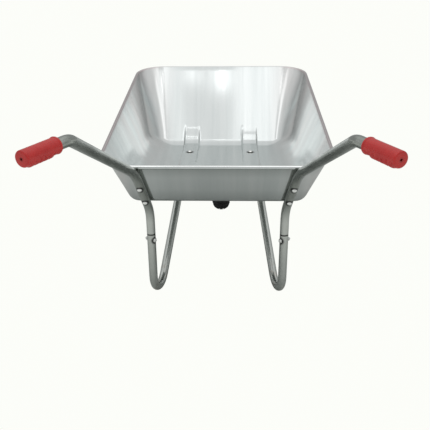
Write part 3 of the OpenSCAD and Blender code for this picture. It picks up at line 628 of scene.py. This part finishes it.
    # the stations that each side of the grid joins
    lastColumn, lastRow, steps = len(columns) - 1, len(rows) - 1, t["cornerSteps"]
    rearSide = [ring - 1] + list(range(lastColumn + 2))
    rightFrom = lastColumn + 1 + steps
    rightSide = [rightFrom + i for i in range(lastRow + 3)]
    frontFrom = rightFrom + lastRow + 2 + steps
    frontSide = [frontFrom + lastColumn + 2 - i for i in range(lastColumn + 3)]
    leftFrom = frontFrom + lastColumn + 2 + steps
    leftSide = [(leftFrom + lastRow + 2 - i) % ring for i in range(lastRow + 3)]
    inner = []
    for k in range(len(levels) - 1):
        for i in range(ring):
            j = (i + 1) % ring
            a, b = k * ring, (k + 1) * ring
            inner.append((a + i, a + j, b + j, b + i))
    for j in range(deep - 1):
        for i in range(wide - 1):
            inner.append((grid(i, j), grid(i, j + 1), grid(i + 1, j + 1), grid(i + 1, j)))
    for i in range(wide - 1):
        inner.append((rearSide[i], grid(i, 0), grid(i + 1, 0), rearSide[i + 1]))
        inner.append((grid(i, deep - 1), frontSide[i], frontSide[i + 1], grid(i + 1, deep - 1)))
    for j in range(deep - 1):
        inner.append((grid(wide - 1, j), grid(wide - 1, j + 1), rightSide[j + 1], rightSide[j]))
        inner.append((leftSide[j], leftSide[j + 1], grid(0, j + 1), grid(0, j)))
    fans = ((grid(wide - 1, 0), lastColumn + 1),
            (grid(wide - 1, deep - 1), rightFrom + lastRow + 2),
            (grid(0, deep - 1), frontFrom + lastColumn + 2),
            (grid(0, 0), leftFrom + lastRow + 2))
    for centre, start in fans:
        inner += [(centre, (start + i + 1) % ring, (start + i) % ring) for i in range(steps)]
    outer = [tuple(v + count for v in reversed(f)) for f in inner]
    last = (len(levels) - 1) * ring
    rimEdge = []
    for i in range(ring):
        a, b = last + i, last + (i + 1) % ring
        rimEdge.append((a, b, b + count, a + count))
    # these loops run clockwise from outside, so every face is turned over
    faces = [tuple(reversed(f)) for f in inner + outer + rimEdge]
    return points, faces


trayPiece = meshPiece("trayPan", *trayMesh(), tray["sharp"])
finishPiece(trayPiece, "frame", "galvanised_sheet", "tray")
print("tray made")


# grips
def gripProfile():
    # (distance from the end, radius) round the wall, from the hole and back to it
    g = grip
    length, radius, bend = g["length"], g["radius"], g["round"]
    quarter = [math.radians(90 * i / g["roundSteps"]) for i in range(1, g["roundSteps"] + 1)]
    bodyTo = length - g["bodyEnd"]
    profile = [(0.0, g["hole"]), (0.0, radius - bend)]
    profile += [(bend * (1 - math.cos(a)), radius - bend + bend * math.sin(a)) for a in quarter]
    profile += [(mix(g["bodyFrom"], bodyTo, i / g["bodySteps"]), radius)
                for i in range(g["bodySteps"] + 1)]
    profile += [(length - back, radius + out) for back, out in g["collar"]]
    profile += [(length, g["bore"] + g["mouthWidth"]), (length - g["mouthDepth"], g["bore"]),
                (g["wall"], g["bore"]), (g["wall"], g["hole"])]
    return profile


def gripRidge(s, r):
    # 1 on a finger ridge and 0 between ridges
    g = grip
    onBody = g["bodyFrom"] <= s <= g["length"] - g["bodyEnd"] and r >= g["radius"]
    along = (s - g["ridgeFrom"]) / g["ridgePitch"]
    if not onBody or not -g["ridgeLead"] < along < g["ridges"] - g["ridgeTail"]:
        return 0
    local = along - math.floor(along + g["ridgeLead"])
    rise = min(local + g["ridgeStart"], g["ridgeShare"] - local) / g["ridgeEase"]
    return smooth(clamp(rise, 0, 1))


def gripMesh(side):
    g = grip
    end, elbow = g["end"].copy(), g["elbow"].copy()
    end.x *= side
    elbow.x *= side
    way = (elbow - end).normalized()
    plumb = Vector((0, 0, -1))
    down = (plumb - way * way.dot(plumb)).normalized()
    across = way.cross(down)
    profile, around = gripProfile(), g["around"]
    points, faces = [], []
    for s, r in profile:
        ridge = gripRidge(s, r)
        for k in range(around):
            a = 2 * math.pi * k / around
            under = smooth(clamp((math.cos(a) - g["underFrom"]) / g["underEase"], 0, 1))
            rr = r + g["ridgeHeight"] * ridge * under
            points.append(end + way * s + down * rr * math.cos(a) + across * rr * math.sin(a))
    for i in range(len(profile)):
        a, b = i * around, ((i + 1) % len(profile)) * around
        for k in range(around):
            k2 = (k + 1) % around
            faces.append((a + k, a + k2, b + k2, b + k))
    return points, faces


for sideName, side in (("left", -1), ("right", 1)):
    piece = meshPiece(sideName + "GripSleeve", *gripMesh(side), grip["sharp"])
    faceOutward(piece)
    finishPiece(piece, "frame", "grip_plastic", sideName + "_grip")
print("grips made")


# geometry nodes helpers
def addInput(tree, name, kind, default=None):
    made = tree.interface.new_socket(name=name, in_out="INPUT", socket_type=kind)
    if default is not None:
        made.default_value = default


def newTree(name, sockets):
    tree = bpy.data.node_groups.new(name, "GeometryNodeTree")
    shape = {"name": "Geometry", "socket_type": "NodeSocketGeometry"}
    tree.interface.new_socket(in_out="INPUT", **shape)
    for entry in sockets:
        addInput(tree, *entry)
    tree.interface.new_socket(in_out="OUTPUT", **shape)
    return tree, tree.nodes.new("NodeGroupInput"), tree.nodes.new("NodeGroupOutput")


def endTree(tree, ins, instance, outs):
    # the instances become one real mesh with its material
    realize = tree.nodes.new("GeometryNodeRealizeInstances")
    paint = tree.nodes.new("GeometryNodeSetMaterial")
    link = tree.links.new
    link(instance.outputs["Instances"], realize.inputs["Geometry"])
    link(realize.outputs["Geometry"], paint.inputs["Geometry"])
    link(ins.outputs["Finish"], paint.inputs["Material"])
    link(paint.outputs["Geometry"], outs.inputs["Geometry"])


def runTree(base, tree, values, name):
    modifier = base.modifiers.new("build", "NODES")
    modifier.node_group = tree
    for item in tree.interface.items_tree:
        isInput = item.item_type == "SOCKET" and item.in_out == "INPUT"
        if isInput and item.name in values:
            modifier[item.identifier] = values[item.name]
    bpy.context.view_layer.update()
    evaluated = base.evaluated_get(bpy.context.evaluated_depsgraph_get())
    made = bpy.data.meshes.new_from_object(evaluated)
    base.modifiers.remove(modifier)
    piece = bpy.data.objects.new(name, made)
    made.name = name
    bpy.context.scene.collection.objects.link(piece)
    return piece


def boltTree():
    tree, ins, outs = newTree("setBolts", [
        ("Bolt", "NodeSocketObject"), ("Size", "NodeSocketFloat", 1.0),
        ("Finish", "NodeSocketMaterial")])
    info = tree.nodes.new("GeometryNodeObjectInfo")
    aim = tree.nodes.new("GeometryNodeInputNamedAttribute")
    aim.data_type = "FLOAT_VECTOR"
    aim.inputs["Name"].default_value = "aim"
    turn = tree.nodes.new("FunctionNodeAlignRotationToVector")
    turn.axis = "Z"
    instance = tree.nodes.new("GeometryNodeInstanceOnPoints")
    link = tree.links.new
    link(ins.outputs["Bolt"], info.inputs["Object"])
    link(ins.outputs["Geometry"], instance.inputs["Points"])
    link(info.outputs["Geometry"], instance.inputs["Instance"])
    link(aim.outputs["Attribute"], turn.inputs["Vector"])
    link(turn.outputs["Rotation"], instance.inputs["Rotation"])
    link(ins.outputs["Size"], instance.inputs["Scale"])
    endTree(tree, ins, instance, outs)
    return tree


def lathe(name, profile, around, sharpAngle, axis="Z"):
    # profile is (radius, height) pairs; ends on the axis close to one point
    points, rings = [], []
    angles = [2 * math.pi * k / around for k in range(around)]
    for r, z in profile:
        if r < mergeDistance / 10:
            rings.append([len(points)])
            points.append(Vector((0, 0, z)))
        else:
            rings.append(list(range(len(points), len(points) + around)))
            points += [Vector((r * math.cos(a), r * math.sin(a), z)) for a in angles]
    closed = len(rings[0]) > 1 and len(rings[-1]) > 1
    faces = []
    for i in range(len(rings) if closed else len(rings) - 1):
        a, b = rings[i], rings[(i + 1) % len(rings)]
        for k in range(around):
            k2 = (k + 1) % around
            if len(a) == 1:
                faces.append((a[0], b[k2], b[k]))
            elif len(b) == 1:
                faces.append((a[k], a[k2], b[0]))
            else:
                faces.append((a[k], a[k2], b[k2], b[k]))
    if axis == "X":
        points = [Vector((p.z, p.x, p.y)) for p in points]
    piece = meshPiece(name, points, faces, sharpAngle)
    faceOutward(piece)
    shade(piece, sharpAngle)   # once more, now that all faces point outward
    return piece


# bolts
def domedBolt(length, name):
    # head above z = 0, shank below with a chamfered tip
    shank, chamfer = bolt["shank"], bolt["chamfer"]
    head, height = bolt["head"], bolt["headHeight"]
    edge, rim = bolt["headEdge"], bolt["headRim"]
    profile = [(0.0, -length), (shank - chamfer, -length), (shank, -length + chamfer)]
    profile += [(shank, 0.0), (head - edge, 0.0), (head, edge), (head, rim)]
    dome = (head ** 2 + (height - rim) ** 2) / (2 * (height - rim))   # its radius
    start = math.asin(min(1, head / dome))
    for i in range(1, bolt["domeSteps"]):
        a = start * (1 - i / bolt["domeSteps"])
        profile.append((dome * math.sin(a), height - dome * (1 - math.cos(a))))
    profile.append((0.0, height))
    return lathe(name, profile, bolt["around"], bolt["sharp"])


def boltSet(name, places, length, node):
    base = bpy.data.objects.new(name + "Places", bpy.data.meshes.new(name + "Places"))
    base.data.from_pydata([tuple(p) for p, _ in places], [], [])
    aim = base.data.attributes.new("aim", "FLOAT_VECTOR", "POINT")
    for i, (_, way) in enumerate(places):
        aim.data[i].vector = way
    bpy.context.scene.collection.objects.link(base)
    model = domedBolt(length, name + "Model")
    values = {"Bolt": model, "Size": 1.0, "Finish": finishes["plated_steel"]}
    piece = runTree(base, boltsTree, values, name)
    bpy.data.objects.remove(base)
    bpy.data.objects.remove(model)
    finishPiece(piece, "frame", "plated_steel", node)


boltsTree = boltTree()
floorSpots = [(spot, Vector((0, 0, 1))) for spot in floorBoltSpots()]
floorLength = floorSpots[0][0].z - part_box("floor_bolts")[0].z
boltSet("handleBoltHeads", handleBoltPlaces(),
        bolt["grip"] + bolt["washer"] + bolt["nut"] + bolt["tail"], "handle_bolts")
boltSet("legBoltHeads", legBoltPlaces(),
        2 * tubes["radius"] + bolt["nut"] + bolt["tail"], "leg_bolts")
boltSet("floorBoltHeads", floorSpots, floorLength, "floor_bolts")
print("bolts made")


# tyre
wheel = {
    "halfWidth": 0.035, "middle": 0.135, "rise": 0.030, "groove": 0.0035, "skin": 0.001,
    "around": 180, "carcassSteps": 60, "carcassTurn": 110, "sharp": 35,
    "footRadius": 0.0934, "footX": 0.0266,
    # out from the foot's radius and out from its x, round the bead
    "foot": [(0.012, 0), (0.0022, 0), (0, -0.0022), (0, -0.010), (0.014, -0.007)],
    "rings": [(62, 68), (84, 87)], "ringHeight": 0.0009,   # raised rings on the side wall
    "insideRise": 0.0225, "insideHalfWidth": 0.0295, "insideSteps": 30, "insideTurn": 112,
    "lugs": 44, "lugSteps": 6, "lugSunk": 0.002, "lugSharp": 30,
    "lugEdge": 0.0006, "lugEdgeInset": 0.06, "lugTopInset": 0.1,
    # each block from x to x, its shift, share of the pitch and slant
    "blocks": [(-0.0065, 0.0065, 0.0, 0.5, 0.05), (0.009, 0.029, 0.12, 0.56, 0.3),
               (-0.029, -0.009, 0.62, 0.56, 0.3)],
}


def tyreProfile():
    w = wheel
    footRadius, footX, steps = w["footRadius"], w["footX"], w["carcassSteps"]
    carcass = w["rise"] - w["groove"]
    foot = [(footRadius + up, footX + out) for up, out in w["foot"]]
    outside = []
    for i in range(steps + 1):
        a = math.radians(mix(-w["carcassTurn"], w["carcassTurn"], i / steps))
        turned = abs(math.degrees(a))
        onRing = any(low < turned < high for low, high in w["rings"])
        ring = w["ringHeight"] if onRing else 0
        outside.append((w["middle"] + (carcass + ring) * math.cos(a),
                        (w["halfWidth"] - w["skin"] + ring) * math.sin(a)))
    turn, steps = w["insideTurn"], w["insideSteps"]
    inside = [(w["middle"] + w["insideRise"] * math.cos(math.radians(a)),
               w["insideHalfWidth"] * math.sin(math.radians(a)))
              for a in [mix(turn, -turn, i / steps) for i in range(steps + 1)]]
    left = [(r, -x) for r, x in reversed(foot)]
    return left + outside + foot + inside


def lugMesh():
    # one pitch of the tread: a centre block and a slanted shoulder block on each side
    w = wheel
    pitch = 2 * math.pi / w["lugs"]
    loop = (0, 2, 4, 5, 3, 1)   # round one section of a block
    nx = w["lugSteps"] + 1
    points, faces = [], []
    for x0, x1, shift, share, slant in w["blocks"]:
        first = len(points)
        for i in range(nx):
            x = mix(x0, x1, i / (nx - 1))
            lean = slant * pitch * abs(x) / w["halfWidth"]
            crown = math.sqrt(max(0, 1 - (x / w["halfWidth"]) ** 2))
            top = w["middle"] + w["rise"] * crown
            low = w["middle"] + (w["rise"] - w["groove"] - w["lugSunk"]) * crown
            section = ((low, 0), (top - w["lugEdge"], w["lugEdgeInset"]), (top, w["lugTopInset"]))
            for r, inset in section:
                for end in (-1, 1):
                    a = pitch * (shift + end * (share / 2 - inset * share / 2)) + lean
                    points.append((x, -r * math.sin(a), r * math.cos(a)))
        for i in range(nx - 1):
            a, b = first + 6 * i, first + 6 * (i + 1)
            for k in range(6):
                p, q = loop[k], loop[(k + 1) % 6]
                faces.append((a + p, a + q, b + q, b + p))
        for a in (first, first + 6 * (nx - 1)):
            faces.append(tuple(a + k for k in loop))
    return points, faces


def treadTree():
    tree, ins, outs = newTree("treadRing", [
        ("Lug", "NodeSocketObject"), ("Lugs", "NodeSocketInt", wheel["lugs"]),
        ("Finish", "NodeSocketMaterial")])
    node, link = tree.nodes.new, tree.links.new
    line, info = node("GeometryNodeMeshLine"), node("GeometryNodeObjectInfo")
    line.inputs["Offset"].default_value = (0, 0, 0)
    index, turn = node("GeometryNodeInputIndex"), node("ShaderNodeCombineXYZ")
    step, angle = node("ShaderNodeMath"), node("ShaderNodeMath")
    step.operation, angle.operation = "DIVIDE", "MULTIPLY"
    step.inputs[0].default_value = 2 * math.pi
    instance = node("GeometryNodeInstanceOnPoints")
    link(ins.outputs["Lugs"], line.inputs["Count"])
    link(ins.outputs["Lugs"], step.inputs[1])
    link(index.outputs["Index"], angle.inputs[0])
    link(step.outputs[0], angle.inputs[1])
    link(angle.outputs[0], turn.inputs["X"])
    link(ins.outputs["Lug"], info.inputs["Object"])
    link(line.outputs["Mesh"], instance.inputs["Points"])
    link(info.outputs["Geometry"], instance.inputs["Instance"])
    link(turn.outputs["Vector"], instance.inputs["Rotation"])
    endTree(tree, ins, instance, outs)
    return tree


carcass = lathe("tyreCarcass", tyreProfile(), wheel["around"], wheel["sharp"], axis="X")
shiftMesh(carcass, axle)
finishPiece(carcass, "wheel", "tyre_rubber", "tyre")
lug = meshPiece("lugModel", *lugMesh(), wheel["lugSharp"])
faceOutward(lug)
base = bpy.data.objects.new("treadBase", bpy.data.meshes.new("treadBase"))
bpy.context.scene.collection.objects.link(base)
treadValues = {"Lug": lug, "Lugs": wheel["lugs"], "Finish": finishes["tyre_rubber"]}
tread = runTree(base, treadTree(), treadValues, "tyreTread")
bpy.data.objects.remove(base)
bpy.data.objects.remove(lug)
shiftMesh(tread, axle)
finishPiece(tread, "wheel", "tyre_rubber", "tyre")
print("tyre made")


# floor, light and camera
stage = {
    "floor": 30.0, "rough": 0.95, "seen": (0.975, 0.985, 0.945),
    "near": (0.44, 0.46, 0.445), "far": (0.92, 0.93, 0.9),
    "middle": (0, 0.35, 0), "nearTo": 0.3, "farFrom": 1.05,
    "sky": [(0.0, (0.42, 0.43, 0.43)), (0.42, (0.44, 0.455, 0.455)),
            (0.72, (0.8, 0.82, 0.82)), (1.0, (0.85, 0.86, 0.86))],
}
# where each light hangs, what it faces, its size and its watts
lights = {
    "overhead": ((-0.1, -0.3, 2.8), (0, 0.1, 0.3), (3.0, 2.0), 1.6),
    "strip": ((0.21, -0.14, 2.4), (0.21, -0.14, 0), (0.28, 1.1), 0.42),
    "rightStrip": ((0.6, -0.3, 2.4), (0.6, -0.3, 0), (0.42, 1.4), 0.95),
    "leftStrip": ((-0.55, -0.3, 2.4), (-0.55, -0.3, 0), (0.4, 1.4), 1.0),
    "leftWindow": ((-2.2, 0.4, 1.5), (0, 0.1, 0.35), (0.5, 1.6), 0.7),
    "rightWindow": ((2.3, 0.5, 1.6), (0, 0.1, 0.35), (0.5, 1.6), 0.8),
    "lamp": ((-0.03, 0.08, 2.4), (-0.03, 0.08, 0), (0.1, 0.16), 0.08),
    "smallLamp": ((-0.23, 0.1, 2.4), (-0.23, 0.1, 0), (0.1, 0.1), 0.035),
}
camera = {
    "at": (0.0367, -1.6085, 0.9451), "yaw": -1.61, "pitch": 23.42, "roll": -0.40,
    "lens": 49.28, "sensor": 36, "clipEnd": 100, "footToAxle": 0.664,
}


def seenPale(tree, paleKind, plainOutput, outNode):
    # the camera sees one pale tone, and everything else sees the plain shader
    pale, path = tree.nodes.new(paleKind), tree.nodes.new("ShaderNodeLightPath")
    mixer = tree.nodes.new("ShaderNodeMixShader")
    pale.inputs["Color"].default_value = (*stage["seen"], 1)
    tree.links.new(path.outputs["Is Camera Ray"], mixer.inputs["Fac"])
    tree.links.new(plainOutput, mixer.inputs[1])
    tree.links.new(pale.outputs[0], mixer.inputs[2])
    tree.links.new(mixer.outputs["Shader"], tree.nodes[outNode].inputs["Surface"])


def stageFloor():
    half = stage["floor"] / 2
    corners = [(-half, -half, 0), (half, -half, 0), (half, half, 0), (-half, half, 0)]
    piece = meshPiece("studioFloor", corners, [(0, 1, 2, 3)])
    f = Finish("studioFloor", stage["near"], 0, stage["rough"])
    # painted shadow: the floor is darker round the barrow, in what it lights and what mirrors it
    barrowShadow = f.near([stage["middle"]], stage["nearTo"], stage["farFrom"])
    f.color(f.blend(barrowShadow, stage["far"], stage["near"]))
    f.shader.inputs["Specular IOR Level"].default_value = 0
    seenPale(f.tree, "ShaderNodeEmission", f.shader.outputs["BSDF"], "Material Output")
    piece.data.materials.append(f.material)


def studioWorld():
    world = bpy.data.worlds.new("studio")
    world.use_nodes = True
    bpy.context.scene.world = world
    nodes, link = world.node_tree.nodes, world.node_tree.links.new
    background = nodes["Background"]
    coord, split = nodes.new("ShaderNodeTexCoord"), nodes.new("ShaderNodeSeparateXYZ")
    ramp = nodes.new("ShaderNodeValToRGB")
    link(coord.outputs["Generated"], split.inputs["Vector"])
    link(split.outputs["Z"], ramp.inputs["Fac"])
    stops, sky = ramp.color_ramp.elements, stage["sky"]
    for stop, (at, tone) in zip(stops, (sky[0], sky[-1])):
        stop.position, stop.color = at, (*tone, 1)
    for at, tone in sky[1:-1]:
        stops.new(at).color = (*tone, 1)
    link(ramp.outputs["Color"], background.inputs["Color"])
    background.inputs["Strength"].default_value = 1.0
    seenPale(world.node_tree, "ShaderNodeBackground", background.outputs[0], "World Output")


def softLight(name, at, target, size, power):
    data = bpy.data.lights.new(name, "AREA")
    data.shape = "RECTANGLE"
    data.size, data.size_y = size
    data.energy = power
    light = bpy.data.objects.new(name, data)
    light.location = at
    facing = Vector(target) - Vector(at)
    light.rotation_euler = facing.to_track_quat("-Z", "Y").to_euler()
    bpy.context.scene.collection.objects.link(light)


def studioCamera():
    yaw, pitch, roll = (math.radians(camera[k]) for k in ("yaw", "pitch", "roll"))
    level = math.cos(pitch)
    forward = Vector((math.sin(yaw) * level, math.cos(yaw) * level, -math.sin(pitch)))
    right = Vector((math.cos(yaw), -math.sin(yaw), 0))
    up = right.cross(forward)
    right, up = (right * math.cos(roll) + up * math.sin(roll),
                 up * math.cos(roll) - right * math.sin(roll))
    data = bpy.data.cameras.new("camera")
    data.lens = camera["lens"]
    data.sensor_width = camera["sensor"]
    data.clip_end = camera["clipEnd"]
    view = bpy.data.objects.new("camera", data)
    x, y, z = camera["at"]
    matrix = Matrix((right, up, -forward)).transposed().to_4x4()
    matrix.translation = (x, y + axle.y - camera["footToAxle"], z)
    view.matrix_world = matrix
    bpy.context.scene.collection.objects.link(view)
    bpy.context.scene.camera = view


stageFloor()
studioWorld()
for lightName, facts in lights.items():
    softLight(lightName, *facts)
bpy.context.scene.view_settings.view_transform = "Standard"
studioCamera()
print("stage made")
